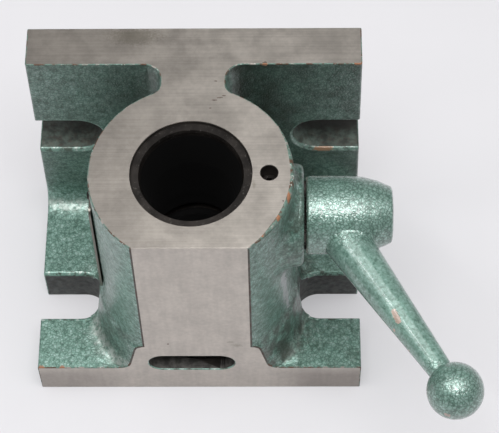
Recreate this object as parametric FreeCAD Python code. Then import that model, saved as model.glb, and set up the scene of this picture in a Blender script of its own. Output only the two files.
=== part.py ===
# Collet chuck holder: a cast body with a vertical collet bore, closed by a cam lever.
# Origin on the bore axis in the plane of the base's underside. X right, Y back, Z up.
import FreeCAD, Part
import math
import os

V = FreeCAD.Vector
X_AXIS = V(1, 0, 0)
Y_AXIS = V(0, 1, 0)
Z_AXIS = V(0, 0, 1)

# Casting, in millimetres
body_height = 117.5
body_width = 127.0
side_flare = 1.3
axis_to_front = 31.25
axis_to_back = 64.0
base_thickness = 18.2
back_thickness = 16.5
inner_corner_radius = 7.0
lip_chamfer = 1.0
collar_radius = 37.7
neck_half_width = 12.2
neck_to_collar_radius = 4.5
neck_to_back_radius = 6.5

# Plinth that the collar stands on
plinth_height = 37.6
plinth_top_radius = 39.9
plinth_foot_radius = 41.6
plinth_shoulder_radius = 3.0
plinth_fillet_radius = 3.6

# Open slots for clamping bolts
base_slot_width = 19.8
base_slot_apex = 39.0
base_slot_offset = 1.2
back_slot_width = 20.7
back_slot_apex = 37.7
back_slot_height = 67.2

# Window for the tommy bar, in the front face
window_length = 34.2
window_height = 12.1
window_center_x = -2.8
window_center_z = 22.7

# Main bore and nut chamber
bore_radius = 22.2
chamber_radius = 26.5

# Cam shaft and its boss
shaft_below_top = 31.1
shaft_radius = 9.5
shaft_bore_gap = 0.05
shaft_end_gap = 0.7
boss_radius = 19.3
boss_face_x = 41.3
boss_edge_radius = 2.0
boss_draft_angle = 9.0
crank_offset = 1.8
crank_rest_angle = 45.0
crank_pin_radius = 4.0
lever_sweep = 90.0

# Closing sleeve
sleeve_gap = 0.03
sleeve_sink = 1.5
sleeve_length = 48.0
mouth_radius = 18.85
mouth_chamfer = 1.0
mouth_chamfer_width = 0.45
taper_half_angle = 10.0
collet_bore_radius = 15.9
keyway_relief_radius = 16.3
keyway_relief_length = 8.0
crank_pocket_depth = 3.9
crank_pocket_gap = 0.1
crank_end_gap = 0.3

# Key that holds the collet in the sleeve
key_above_sleeve_end = 4.6
key_body_radius = 2.6
key_tip_radius = 1.5
key_tip_reach = 1.5
key_recess = 0.4

# Draw nut
nut_flange_radius = 25.6
nut_flange_thickness = 12.0
nut_hub_radius = 19.5
nut_to_sleeve_gap = 6.0
nut_thread_radius = 15.1
nut_thread_length = 19.2
nut_tail_radius = 17.0
nut_lead_in = 0.8
bar_hole_count = 6
bar_hole_radius = 3.3
bar_hole_depth = 7.0

# Washers and retaining ring under and over the flange
washer_outer_radius = 26.0
upper_washer_inner_radius = 22.6
lower_washer_inner_radius = 20.0
washer_thickness = 1.5
axial_play = 0.05
ring_thickness = 1.5
ring_groove_radius = 28.4
ring_groove_width = 1.6
ring_outer_gap = 0.15
ring_band = 3.4
ring_heel = 0.9
ring_mouth_angle = 42.0
ring_lug_radius = 3.2
ring_lug_hole_radius = 1.1

# Lock screw that keeps the shaft in and stops its turn
lock_screw_x = 28.5
lock_hole_radius = 3.15
lock_screw_radius = 3.1
lock_screw_length = 16.55
lock_tip_radius = 2.2
lock_tip_length = 3.0
lock_groove_depth = 1.6
lock_tip_gap = 0.15
lock_socket_flats = 3.2
lock_socket_depth = 3.0

# Lever: hub, arm and ball in one casting
hub_washer_thickness = 0.8
hub_washer_radius = 13.0
hub_face_gap = 0.05
hub_radius = 14.8
hub_inner_edge = 0.7
hub_barrel_start_x = 58.0
hub_end_x = 74.6
hub_end_radius = 9.7
hub_rim_width = 1.0
hub_shaft_depth = 24.0
arm_start_x = 50.5
ball_x = 94.75
ball_y = -73.5
ball_above_shaft = 2.0
ball_radius = 10.35
arm_root_radius = 9.5
arm_tip_radius = 4.55

# Pin that fixes the hub to the shaft
lever_pin_x = 50.5
lever_pin_radius = 2.5
lever_pin_gap = 0.02
lever_pin_past_shaft = 1.5
lever_pin_sink = 0.6

# Bare plate on the collar's left side, with its drive screws
plate_seat_depth = 0.6
plate_thickness = 0.8
plate_width = 20.6
plate_length = 59.0
plate_below_top = 11.5
plate_corner_radius = 2.5
plate_seat_margin = 1.5
drive_screw_radius = 1.2
drive_screw_inset = 4.5
drive_screw_length = 6.0
drive_head_radius = 2.2
drive_head_height = 1.2
drive_head_crown_radius = 1.3
drive_screw_gap = 0.03

# Worked out from the sizes above
far = 2 * body_height
foot_width = body_width + 2 * side_flare
back_face_y = axis_to_back - back_thickness
shaft_z = body_height - shaft_below_top
sleeve_radius = bore_radius - sleeve_gap
sleeve_top_z = body_height - sleeve_sink
sleeve_bottom_z = sleeve_top_z - sleeve_length
key_z = sleeve_bottom_z + key_above_sleeve_end
shaft_inner_x = bore_radius + shaft_end_gap
crank_rest = math.radians(crank_rest_angle)
crank_y = crank_offset * math.cos(crank_rest)
crank_z = shaft_z + crank_offset * math.sin(crank_rest)
crank_floor_x = sleeve_radius - crank_pocket_depth
hub_face_x = boss_face_x + hub_washer_thickness + 2 * hub_face_gap
shaft_end_x = hub_face_x + hub_shaft_depth
nut_flange_bottom_z = window_center_z - nut_flange_thickness / 2
nut_flange_top_z = nut_flange_bottom_z + nut_flange_thickness
nut_top_z = sleeve_bottom_z - nut_to_sleeve_gap
chamber_roof_z = nut_flange_top_z + 2 * axial_play + washer_thickness
plate_seat_x = collar_radius - plate_seat_depth
plate_top_z = body_height - plate_below_top
plate_bottom_z = plate_top_z - plate_length
arm_start = V(arm_start_x, 0, shaft_z)
ball_center = V(ball_x, ball_y, shaft_z + ball_above_shaft)


def block(x0, x1, y0, y1, z0, z1):
    return Part.makeBox(x1 - x0, y1 - y0, z1 - z0, V(x0, y0, z0))


def rod(radius, start, end):
    axis = end - start
    return Part.makeCylinder(radius, axis.Length, start, axis)


def turned(points, origin, axis):
    """Revolve a closed outline of points, each along the axis and out from it."""
    face = Part.Face(Part.makePolygon(points + [points[0]]))
    return face.revolve(origin, axis, 360)


def arc_points(center, radius, start, end, count):
    """Points of an arc in flats, on the XZ plane, angles in degrees from X towards Z."""
    points = []
    for i in range(count + 1):
        a = math.radians(start + (end - start) * i / count)
        points.append(center + V(radius * math.cos(a), 0, radius * math.sin(a)))
    return points


def stadium(length, width, depth):
    """A prism with round ends, centred on the origin, long side on X, depth along Z."""
    r = width / 2
    half = length / 2 - r
    top = Part.makeLine(V(-half, r, 0), V(half, r, 0))
    right = Part.Arc(V(half, r, 0), V(half + r, 0, 0), V(half, -r, 0)).toShape()
    bottom = Part.makeLine(V(half, -r, 0), V(-half, -r, 0))
    left = Part.Arc(V(-half, -r, 0), V(-half - r, 0, 0), V(-half, r, 0)).toShape()
    return Part.Face(Part.Wire([top, right, bottom, left])).extrude(V(0, 0, depth))


def edges_at(shape, wanted):
    """Edges whose every sampled point meets the condition."""
    found = []
    for edge in shape.Edges:
        points = edge.discretize(5)
        if all(wanted(p) for p in points):
            found.append(edge)
    return found


# Cast body

def open_slot_pair(width, apex, depth):
    """Two U slots that open to the sides, long side on X, depth along Z."""
    slots = []
    for side in (-1, 1):
        slot = stadium(foot_width, width, depth)
        slot.translate(V(side * (apex + foot_width / 2), 0, 0))
        slots.append(slot)
    return slots[0].fuse(slots[1])


def base_slots(height):
    slots = open_slot_pair(base_slot_width, base_slot_apex, height + 2)
    slots.translate(V(0, base_slot_offset, -1))
    return slots


def back_slots():
    slots = open_slot_pair(back_slot_width, back_slot_apex, back_thickness + 2)
    slots.rotate(V(0, 0, 0), X_AXIS, 90)
    slots.translate(V(0, axis_to_back + 1, back_slot_height))
    return slots


def base_plate():
    half = foot_width / 2
    plate = block(-half, half, -axis_to_front, axis_to_back, 0, base_thickness)
    plate = plate.cut(base_slots(base_thickness))

    def slot_lip(p):
        near = abs(p.y - base_slot_offset) < base_slot_width / 2 + 0.1
        return near and abs(p.z - base_thickness) < 1e-3 and abs(p.x) < half + 0.1

    return plate.makeChamfer(lip_chamfer, edges_at(plate, slot_lip))


def side_draft(y0, y1):
    """The casting's outline seen from the front, wider at the foot, as a prism along Y."""
    foot = foot_width / 2
    top = body_width / 2
    corners = [V(-foot, y0, 0), V(foot, y0, 0), V(foot, y0, base_thickness)]
    corners += [V(top, y0, body_height), V(-top, y0, body_height), V(-foot, y0, base_thickness)]
    return Part.Face(Part.makePolygon(corners + [corners[0]])).extrude(V(0, y1 - y0, 0))


def back_plate():
    plate = side_draft(back_face_y, axis_to_back).cut(back_slots())

    def slot_lip(p):
        near = abs(p.z - back_slot_height) < back_slot_width / 2 + 0.1
        return near and abs(p.y - back_face_y) < 1e-3

    def front_side(p):
        outside = abs(p.x) > body_width / 2 - 0.1
        return outside and abs(p.y - back_face_y) < 1e-3

    lips = edges_at(plate, lambda p: slot_lip(p) and not front_side(p))
    return plate.makeChamfer(lip_chamfer, lips)


def inner_corner():
    """Concave fillet where the back plate rises from the base."""
    r = inner_corner_radius
    y = back_face_y
    z = base_thickness
    foot = foot_width
    start = V(-foot, y - r, z)
    end = V(-foot, y, z + r)
    middle = V(-foot, y - r * (1 - math.sin(math.pi / 4)), z + r * (1 - math.cos(math.pi / 4)))
    curve = Part.Arc(start, middle, end).toShape()
    up = Part.makeLine(end, V(-foot, y + 1, z + r))
    down = Part.makeLine(V(-foot, y + 1, z + r), V(-foot, y + 1, z - 1))
    floor = Part.makeLine(V(-foot, y + 1, z - 1), V(-foot, y - r, z - 1))
    wall = Part.makeLine(V(-foot, y - r, z - 1), start)
    wedge = Part.Face(Part.Wire([curve, up, down, floor, wall])).extrude(V(2 * foot, 0, 0))
    return wedge.common(side_draft(0, axis_to_back))


def collar_and_neck():
    """Collar, with a neck that joins it to the back plate through rounded corners."""
    w = neck_half_width
    r1 = neck_to_collar_radius
    r2 = neck_to_back_radius
    reach = collar_radius + r1
    c1 = V(w + r1, math.sqrt(reach ** 2 - (w + r1) ** 2), 0)
    on_collar = c1 * (collar_radius / reach)
    toward = (V(w, c1.y, 0) - c1 + on_collar - c1).normalize()
    c2 = V(w + r2, back_face_y - r2, 0)
    bend = V(-1, 1, 0).normalize()

    def mirrored(p):
        return V(-p.x, p.y, p.z)

    right = [on_collar, c1 + toward * r1, V(w, c1.y, 0)]
    right += [V(w, c2.y, 0), c2 + bend * r2, V(c2.x, back_face_y, 0)]
    left = [mirrored(p) for p in right]
    behind = V(c2.x, back_face_y + 1, 0)
    edges = [Part.Arc(left[0], V(0, -collar_radius, 0), right[0]).toShape()]
    edges += [Part.Arc(right[0], right[1], right[2]).toShape()]
    edges += [Part.makeLine(right[2], right[3])]
    edges += [Part.Arc(right[3], right[4], right[5]).toShape()]
    edges += [Part.makeLine(right[5], behind)]
    edges += [Part.makeLine(behind, mirrored(behind))]
    edges += [Part.makeLine(mirrored(behind), left[5])]
    edges += [Part.Arc(left[5], left[4], left[3]).toShape()]
    edges += [Part.makeLine(left[3], left[2])]
    edges += [Part.Arc(left[2], left[1], left[0]).toShape()]
    return Part.Face(Part.Wire(edges)).extrude(V(0, 0, body_height))


def plinth():
    """Round plinth with a rolled shoulder, a drafted side and a fillet to the base."""
    rs = plinth_shoulder_radius
    rf = plinth_fillet_radius
    shoulder = V(plinth_top_radius - rs, 0, plinth_height - rs)
    foot = V(plinth_foot_radius + rf, 0, base_thickness + rf)
    inside = bore_radius + 1
    outline = [V(inside, 0, plinth_height)]
    outline += arc_points(shoulder, rs, 90, 0, 3)
    outline += arc_points(foot, rf, 180, 270, 3)
    outline += [V(foot.x, 0, base_thickness - 1), V(inside, 0, base_thickness - 1)]
    return turned(outline, V(0, 0, 0), Z_AXIS)


def cam_boss():
    """Drafted round boss on the collar's side, square to the cam shaft."""
    edge = boss_edge_radius
    start_x = bore_radius + 1
    rim = V(boss_face_x - edge, 0, boss_radius - edge)
    wide = boss_radius + (rim.x - start_x) * math.tan(math.radians(boss_draft_angle))
    outline = [V(start_x, 0, 0), V(start_x, 0, wide)]
    outline += arc_points(rim, edge, 90, 0, 3)
    outline += [V(boss_face_x, 0, 0)]
    boss = turned(outline, V(0, 0, 0), X_AXIS)
    boss.translate(V(0, 0, shaft_z))
    return boss


def body_casting():
    body = base_plate()
    body = body.multiFuse([back_plate(), inner_corner(), collar_and_neck(), cam_boss(), plinth()])
    body = body.common(block(-far, far, -axis_to_front, axis_to_back, 0, body_height))

    cuts = [base_slots(plinth_height + 1)]
    cuts += [rod(bore_radius, V(0, 0, -1), V(0, 0, body_height + 1))]
    cuts += [rod(chamber_radius, V(0, 0, -1), V(0, 0, chamber_roof_z))]
    groove_top = nut_flange_bottom_z - 2 * axial_play - washer_thickness
    cuts += [rod(ring_groove_radius, V(0, 0, groove_top - ring_groove_width), V(0, 0, groove_top))]
    window = stadium(window_length, window_height, axis_to_front)
    window.rotate(V(0, 0, 0), X_AXIS, 90)
    window.translate(V(window_center_x, 0, window_center_z))
    cuts += [window]
    hole = shaft_radius + shaft_bore_gap
    cuts += [rod(hole, V(bore_radius / 2, 0, shaft_z), V(boss_face_x + 1, 0, shaft_z))]
    cuts += [rod(lock_hole_radius, V(lock_screw_x, 0, shaft_z), V(lock_screw_x, 0, body_height + 1))]
    low = plate_bottom_z - plate_seat_margin
    high = plate_top_z + plate_seat_margin
    half = plate_width
    cuts += [block(-far, -plate_seat_x, -half, half, low, high)]
    for z in drive_screw_heights():
        bottom = V(-plate_seat_x + drive_screw_length - plate_thickness + drive_screw_gap, 0, z)
        cuts += [rod(drive_screw_radius + drive_screw_gap, V(-plate_seat_x - 1, 0, z), bottom)]
    body = body.cut(cuts)
    return body.removeSplitter()


# Closing sleeve

def closing_sleeve():
    top = sleeve_top_z
    low = sleeve_bottom_z
    mouth_z = top - mouth_chamfer
    run = (mouth_radius - collet_bore_radius) / math.tan(math.radians(taper_half_angle))
    relief_z = low + keyway_relief_length
    outline = [V(keyway_relief_radius, 0, low), V(sleeve_radius, 0, low), V(sleeve_radius, 0, top)]
    outline += [V(mouth_radius + mouth_chamfer_width, 0, top)]
    outline += [V(mouth_radius, 0, mouth_z), V(collet_bore_radius, 0, mouth_z - run)]
    outline += [V(collet_bore_radius, 0, relief_z), V(keyway_relief_radius, 0, relief_z)]
    sleeve = turned(outline, V(0, 0, 0), Z_AXIS)
    half_drift = crank_offset * (1 - math.cos(crank_rest)) / 2
    width = 2 * (crank_pin_radius + crank_pocket_gap)
    pocket = stadium(width + 2 * half_drift, width, far)
    pocket.rotate(V(0, 0, 0), Z_AXIS, 90)
    pocket.rotate(V(0, 0, 0), Y_AXIS, 90)
    pocket.translate(V(crank_floor_x, crank_y + half_drift, crank_z))
    bolt = rod(key_body_radius, V(0, -collet_bore_radius + 1, key_z), V(0, -far, key_z))
    return sleeve.cut([pocket, bolt]).removeSplitter()


def collet_key():
    """Short round key, set in from the sleeve's outside, with its tip in the bore."""
    head = -sleeve_radius + key_recess
    shoulder = -keyway_relief_radius - key_recess
    tip = -collet_bore_radius + key_tip_reach
    body = rod(key_body_radius - lever_pin_gap, V(0, head, key_z), V(0, shoulder, key_z))
    return body.fuse(rod(key_tip_radius, V(0, shoulder, key_z), V(0, tip, key_z))).removeSplitter()


# Cam shaft and lock screw

def shaft_groove():
    """Part-round groove, just long enough for the lever's sweep past the lock screw."""
    half_width = lock_tip_radius + lock_tip_gap
    floor = shaft_radius - lock_groove_depth
    slack = math.degrees(math.asin(half_width / floor))
    corners = [V(0, 0, floor), V(2 * half_width, 0, floor)]
    corners += [V(2 * half_width, 0, shaft_radius + 1), V(0, 0, shaft_radius + 1)]
    section = Part.Face(Part.makePolygon(corners + [corners[0]]))
    groove = section.revolve(V(0, 0, 0), X_AXIS, lever_sweep + 2 * slack)
    groove.rotate(V(0, 0, 0), X_AXIS, -slack)
    groove.translate(V(lock_screw_x - half_width, 0, shaft_z))
    return groove


def cam_shaft():
    x0 = shaft_inner_x
    shaft = rod(shaft_radius, V(x0, 0, shaft_z), V(shaft_end_x - shaft_end_gap, 0, shaft_z))
    pin_start = V(crank_floor_x + crank_end_gap, crank_y, crank_z)
    pin = rod(crank_pin_radius, pin_start, V(x0 + 1, crank_y, crank_z))
    shaft = shaft.fuse(pin)
    top = shaft_z + shaft_radius + lever_pin_past_shaft
    hole = rod(lever_pin_radius, V(lever_pin_x, 0, shaft_z - far), V(lever_pin_x, 0, top))
    return shaft.cut([shaft_groove(), hole]).removeSplitter()


def hexagon_prism(flats, start, depth):
    radius = flats / math.sqrt(3)
    corners = []
    for i in range(6):
        a = math.radians(60 * i)
        corners.append(start + V(radius * math.cos(a), radius * math.sin(a), 0))
    return Part.Face(Part.makePolygon(corners + [corners[0]])).extrude(V(0, 0, depth))


def shaft_lock_screw():
    tip = shaft_z + shaft_radius - lock_groove_depth + lock_tip_gap
    top = tip + lock_screw_length
    body_end = tip + lock_tip_length
    screw = rod(lock_screw_radius, V(lock_screw_x, 0, body_end), V(lock_screw_x, 0, top))
    dog = rod(lock_tip_radius, V(lock_screw_x, 0, tip), V(lock_screw_x, 0, body_end))
    socket_floor = V(lock_screw_x, 0, top - lock_socket_depth)
    socket = hexagon_prism(lock_socket_flats, socket_floor, far)
    return screw.fuse(dog).cut(socket).removeSplitter()


# Lever

def lever_hub():
    """Round hub whose side curves in, barrel-like, to a small flat end."""
    rim = hub_rim_width
    rise = hub_radius - hub_end_radius - rim
    run = hub_end_x - rim / 2 - hub_barrel_start_x
    barrel = (run ** 2 + rise ** 2) / (2 * rise)
    sweep = math.degrees(math.asin(run / barrel))
    outline = [V(hub_face_x, 0, 0), V(hub_face_x, 0, hub_radius - hub_inner_edge)]
    outline += [V(hub_face_x + hub_inner_edge, 0, hub_radius)]
    outline += arc_points(V(hub_barrel_start_x, 0, hub_radius - barrel), barrel, 90, 90 - sweep, 3)
    outline += [V(hub_end_x, 0, hub_end_radius), V(hub_end_x, 0, 0)]
    hub = turned(outline, V(0, 0, 0), X_AXIS)
    hub.translate(V(0, 0, shaft_z))
    return hub


def arm_and_ball():
    """Tapered round arm that ends in a ball, turned about its own axis."""
    axis = ball_center - arm_start
    length = axis.Length
    tip = V(length - math.sqrt(ball_radius ** 2 - arm_tip_radius ** 2), 0, arm_tip_radius)
    pole = V(length + ball_radius, 0, 0)
    edges = [Part.makeLine(V(0, 0, 0), V(0, 0, arm_root_radius))]
    edges += [Part.makeLine(V(0, 0, arm_root_radius), tip)]
    edges += [Part.Arc(tip, V(length, 0, ball_radius), pole).toShape()]
    edges += [Part.makeLine(pole, V(0, 0, 0))]
    arm = Part.Face(Part.Wire(edges)).revolve(V(0, 0, 0), X_AXIS, 360)
    arm.Placement = FreeCAD.Placement(arm_start, FreeCAD.Rotation(X_AXIS, axis))
    return arm


def lever_handle():
    lever = lever_hub().fuse(arm_and_ball()).removeSplitter()
    bore = rod(shaft_radius + lever_pin_gap, V(hub_face_x - 1, 0, shaft_z), V(shaft_end_x, 0, shaft_z))
    top = shaft_z + shaft_radius + lever_pin_past_shaft
    hole = rod(lever_pin_radius, V(lever_pin_x, 0, shaft_z - far), V(lever_pin_x, 0, top))
    return lever.cut([bore, hole]).removeSplitter()


def lever_pin():
    low = shaft_z - hub_radius + lever_pin_sink
    high = shaft_z + shaft_radius + lever_pin_past_shaft - lever_pin_gap
    return rod(lever_pin_radius - lever_pin_gap, V(lever_pin_x, 0, low), V(lever_pin_x, 0, high))


def hub_washer():
    x0 = boss_face_x + hub_face_gap
    x1 = x0 + hub_washer_thickness
    outer = rod(hub_washer_radius, V(x0, 0, shaft_z), V(x1, 0, shaft_z))
    inner = rod(shaft_radius + shaft_bore_gap, V(x0 - 1, 0, shaft_z), V(x1 + 1, 0, shaft_z))
    return outer.cut(inner)


# Draw nut, its washers and its ring

def draw_nut():
    low = nut_flange_bottom_z
    mid = nut_flange_top_z
    top = nut_top_z
    thread_top = top - nut_lead_in
    thread_bottom = thread_top - nut_thread_length
    outline = [V(nut_tail_radius, 0, low), V(nut_flange_radius, 0, low), V(nut_flange_radius, 0, mid)]
    outline += [V(nut_hub_radius, 0, mid), V(nut_hub_radius, 0, top)]
    outline += [V(nut_thread_radius + nut_lead_in, 0, top), V(nut_thread_radius, 0, thread_top)]
    outline += [V(nut_thread_radius, 0, thread_bottom), V(nut_tail_radius, 0, thread_bottom)]
    nut = turned(outline, V(0, 0, 0), Z_AXIS)
    middle = (low + mid) / 2
    holes = []
    for i in range(bar_hole_count):
        a = 2 * math.pi * i / bar_hole_count - math.pi / 2
        outward = V(math.cos(a), math.sin(a), 0)
        start = outward * (nut_flange_radius - bar_hole_depth) + V(0, 0, middle)
        holes.append(rod(bar_hole_radius, start, start + outward * (2 * bar_hole_depth)))
    return nut.cut(holes)


def washer(inner_radius, z):
    outer = rod(washer_outer_radius, V(0, 0, z), V(0, 0, z + washer_thickness))
    return outer.cut(rod(inner_radius, V(0, 0, z - 1), V(0, 0, z + washer_thickness + 1)))


def upper_thrust_washer():
    return washer(upper_washer_inner_radius, nut_flange_top_z + axial_play)


def lower_thrust_washer():
    return washer(lower_washer_inner_radius, nut_flange_bottom_z - axial_play - washer_thickness)


def retaining_ring():
    """Spring ring: widest at its heel, open at the back, with two holed lugs."""
    top = nut_flange_bottom_z - 2 * axial_play - washer_thickness
    low = top - ring_thickness
    outer_radius = ring_groove_radius - ring_outer_gap
    inner_radius = outer_radius - ring_band
    start = V(0, 0, low)
    ring = Part.makeCylinder(outer_radius, ring_thickness, start)
    ring = ring.cut(Part.makeCylinder(inner_radius, ring_thickness, start + V(0, ring_heel, 0)))
    half = math.radians(ring_mouth_angle / 2)
    reach = 2 * outer_radius
    corners = [V(0, 0, low), V(-reach * math.sin(half), reach * math.cos(half), low)]
    corners += [V(reach * math.sin(half), reach * math.cos(half), low)]
    mouth = Part.Face(Part.makePolygon(corners + [corners[0]])).extrude(V(0, 0, ring_thickness))
    ring = ring.cut(mouth)
    bolt_circle = inner_radius
    for side in (-1, 1):
        angle = half + ring_lug_radius / bolt_circle
        at = V(side * bolt_circle * math.sin(angle), bolt_circle * math.cos(angle), low)
        ring = ring.fuse(Part.makeCylinder(ring_lug_radius, ring_thickness, at))
        ring = ring.cut(Part.makeCylinder(ring_lug_hole_radius, ring_thickness, at))
    return ring.removeSplitter()


# Side plate

def drive_screw_heights():
    return (plate_bottom_z + drive_screw_inset, plate_top_z - drive_screw_inset)


def side_plate():
    half = plate_width / 2
    x0 = -plate_seat_x - plate_thickness
    plate = block(x0, -plate_seat_x, -half, half, plate_bottom_z, plate_top_z)
    corners = [e for e in plate.Edges if abs(e.Length - plate_thickness) < 1e-6]
    plate = plate.makeFillet(plate_corner_radius, corners)
    for z in drive_screw_heights():
        hole = drive_screw_radius + drive_screw_gap
        plate = plate.cut(rod(hole, V(x0 - 1, 0, z), V(x0 + 2 * plate_thickness, 0, z)))
    return plate


def side_plate_screws():
    """Drive screws with coned heads, each turned in one with its shank."""
    seat = -plate_seat_x - plate_thickness
    top = seat - drive_head_height
    end = seat + drive_screw_length
    outline = [V(top, 0, 0), V(top, 0, drive_head_crown_radius), V(seat, 0, drive_head_radius)]
    outline += [V(seat, 0, drive_screw_radius), V(end, 0, drive_screw_radius), V(end, 0, 0)]
    screws = []
    for z in drive_screw_heights():
        screw = turned(outline, V(0, 0, 0), X_AXIS)
        screw.translate(V(0, 0, z))
        screws.append(screw)
    return Part.makeCompound(screws)


NODES = {
    "body_casting": body_casting,
    "closing_sleeve": closing_sleeve,
    "collet_key": collet_key,
    "cam_shaft": cam_shaft,
    "shaft_lock_screw": shaft_lock_screw,
    "lever_handle": lever_handle,
    "lever_pin": lever_pin,
    "hub_washer": hub_washer,
    "draw_nut": draw_nut,
    "upper_thrust_washer": upper_thrust_washer,
    "lower_thrust_washer": lower_thrust_washer,
    "retaining_ring": retaining_ring,
    "side_plate": side_plate,
    "side_plate_screws": side_plate_screws,
}


def main():
    os.makedirs("parts", exist_ok=True)
    for name, make in NODES.items():
        shape = make()
        box = shape.BoundBox
        shape.exportStep("parts/" + name + ".step")
        print(name, "solids", len(shape.Solids), "valid", shape.isValid(),
              "volume", round(shape.Volume, 1),
              "box", [round(v, 2) for v in (box.XMin, box.YMin, box.ZMin, box.XMax, box.YMax, box.ZMax)])


main()
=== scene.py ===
"""Collet chuck holder: the looks of a cast collet fixture with a ball-ended cam lever."""

import math

import bmesh
import bpy
import numpy as np
from mathutils import Matrix, Vector


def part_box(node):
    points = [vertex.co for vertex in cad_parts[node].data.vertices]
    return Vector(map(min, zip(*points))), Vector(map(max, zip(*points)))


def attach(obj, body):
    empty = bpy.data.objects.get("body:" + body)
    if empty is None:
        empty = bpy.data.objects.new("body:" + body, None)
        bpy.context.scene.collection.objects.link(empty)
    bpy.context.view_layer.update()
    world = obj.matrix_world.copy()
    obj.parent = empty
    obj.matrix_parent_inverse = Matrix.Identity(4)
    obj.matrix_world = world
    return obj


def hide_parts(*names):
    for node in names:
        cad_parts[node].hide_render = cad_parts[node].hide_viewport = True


bl_info = {
    "name": "Collet chuck holder",
    "version": (1, 0, 0),
    "blender": (4, 5, 0),
    "location": "3D View > Sidebar > Collet holder",
    "description": "Dresses the packed collet chuck holder and sets its stage",
    "category": "Object",
}

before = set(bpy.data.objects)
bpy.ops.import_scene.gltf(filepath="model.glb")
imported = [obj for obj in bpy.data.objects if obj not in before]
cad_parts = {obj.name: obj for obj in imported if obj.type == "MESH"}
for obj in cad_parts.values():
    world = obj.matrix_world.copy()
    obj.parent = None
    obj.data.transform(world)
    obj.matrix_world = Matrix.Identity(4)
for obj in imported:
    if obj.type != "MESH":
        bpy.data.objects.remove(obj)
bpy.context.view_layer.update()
MM = 0.001

# Places on the holder, in millimetres: the cam shaft, the lock screw, the middles of the
# slots and of the window, and the collar's radius
SHAFT_Z = 86.4
SCREW_X = 28.5
BASE_SLOT_Y = 1.2
BACK_SLOT_Z = 67.2
WINDOW_X, WINDOW_Z = -2.8, 22.7
COLLAR_RADIUS = 37.7

# An edge turns more than this; the widest bevel stands for a bevel weight of one
SHARP = math.radians(34)
WIDEST_BEVEL = 2 * MM


def linear(code):
    """An sRGB colour given as a hex number, as linear red, green and blue."""
    parts = [((code >> shift) & 255) / 255 for shift in (16, 8, 0)]
    return tuple(c / 12.92 if c <= 0.04045 else ((c + 0.055) / 1.055) ** 2.4 for c in parts)


def rgba(color):
    return (color[0], color[1], color[2], 1.0)


# Settings a user would change


class CastingSettings(bpy.types.PropertyGroup):
    """Edges of the cast body."""

    ground_edge: bpy.props.FloatProperty(
        name="Ground edge", description="Width of the worn edge round each ground face",
        default=0.42 * MM, min=0.0, unit="LENGTH")
    cast_edge: bpy.props.FloatProperty(
        name="Cast edge", description="Width of the rounding on edges left as cast",
        default=0.9 * MM, min=0.0, unit="LENGTH")
    lip_edge: bpy.props.FloatProperty(
        name="Lip edge", description="Width of the rounding on each side of a slot's lip",
        default=0.5 * MM, min=0.0, unit="LENGTH")
    collar_relief: bpy.props.FloatProperty(
        name="Collar relief", description="Extra rounding of the collar's top towards the lever",
        default=1.1 * MM, min=0.0, unit="LENGTH")
    fillet_rounds: bpy.props.IntProperty(
        name="Fillet rounds", description="How many times the cast inner corners are eased",
        default=60, min=0, max=400)


class EnamelSettings(bpy.types.PropertyGroup):
    """Hammered enamel."""

    green: bpy.props.FloatVectorProperty(
        name="Green", description="Enamel in the middle of a cell",
        subtype="COLOR", size=3, default=linear(0x7FA497), min=0.0, max=1.0)
    dark: bpy.props.FloatVectorProperty(
        name="Dark line", description="Enamel in the lines between the cells",
        subtype="COLOR", size=3, default=linear(0x567A6C), min=0.0, max=1.0)
    fleck: bpy.props.FloatVectorProperty(
        name="Fleck", description="Light flecks of metal powder in the enamel",
        subtype="COLOR", size=3, default=linear(0xB2CEC6), min=0.0, max=1.0)
    cell: bpy.props.FloatProperty(
        name="Cell", description="Size of one cell of the hammered pattern",
        default=1.35 * MM, min=0.0001, unit="LENGTH")


class SteelSettings(bpy.types.PropertyGroup):
    """Bare and blackened metal."""

    ground_iron: bpy.props.FloatVectorProperty(
        name="Ground iron", description="Ground faces of the casting",
        subtype="COLOR", size=3, default=linear(0xBDB6AE), min=0.0, max=1.0)
    black_oxide: bpy.props.FloatVectorProperty(
        name="Black oxide", description="Blackened steel",
        subtype="COLOR", size=3, default=linear(0x221F1D), min=0.0, max=1.0)
    turned_steel: bpy.props.FloatVectorProperty(
        name="Turned steel", description="Bare turned steel",
        subtype="COLOR", size=3, default=linear(0xA9A6A1), min=0.0, max=1.0)
    aluminium: bpy.props.FloatVectorProperty(
        name="Aluminium", description="Bare sheet of the side plate",
        subtype="COLOR", size=3, default=linear(0xBEBBB1), min=0.0, max=1.0)


class StageSettings(bpy.types.PropertyGroup):
    """Floor, lights and camera."""

    floor: bpy.props.FloatVectorProperty(
        name="Floor", description="Pale paper that the holder stands on",
        subtype="COLOR", size=3, default=linear(0xDDDCDF), min=0.0, max=1.0)
    softbox_power: bpy.props.FloatProperty(
        name="Softbox", description="Power of the overhead softbox",
        default=11.6, min=0.0, subtype="POWER")
    left_power: bpy.props.FloatProperty(
        name="Left strip", description="Power of the narrow lamp on the left",
        default=1.9, min=0.0, subtype="POWER")
    front_power: bpy.props.FloatProperty(
        name="Front softbox", description="Power of the softbox above the front",
        default=5.4, min=0.0, subtype="POWER")
    room: bpy.props.FloatProperty(
        name="Room", description="Strength of the pale room light",
        default=0.25, min=0.0)
    lens: bpy.props.FloatProperty(
        name="Lens", description="Focal length on a 36 mm wide sensor, in millimetres",
        default=139.03, min=1.0)


class HolderSettings(bpy.types.PropertyGroup):
    """All settings of the collet chuck holder."""

    casting: bpy.props.PointerProperty(type=CastingSettings)
    enamel: bpy.props.PointerProperty(type=EnamelSettings)
    steel: bpy.props.PointerProperty(type=SteelSettings)
    stage: bpy.props.PointerProperty(type=StageSettings)


# Materials


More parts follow.
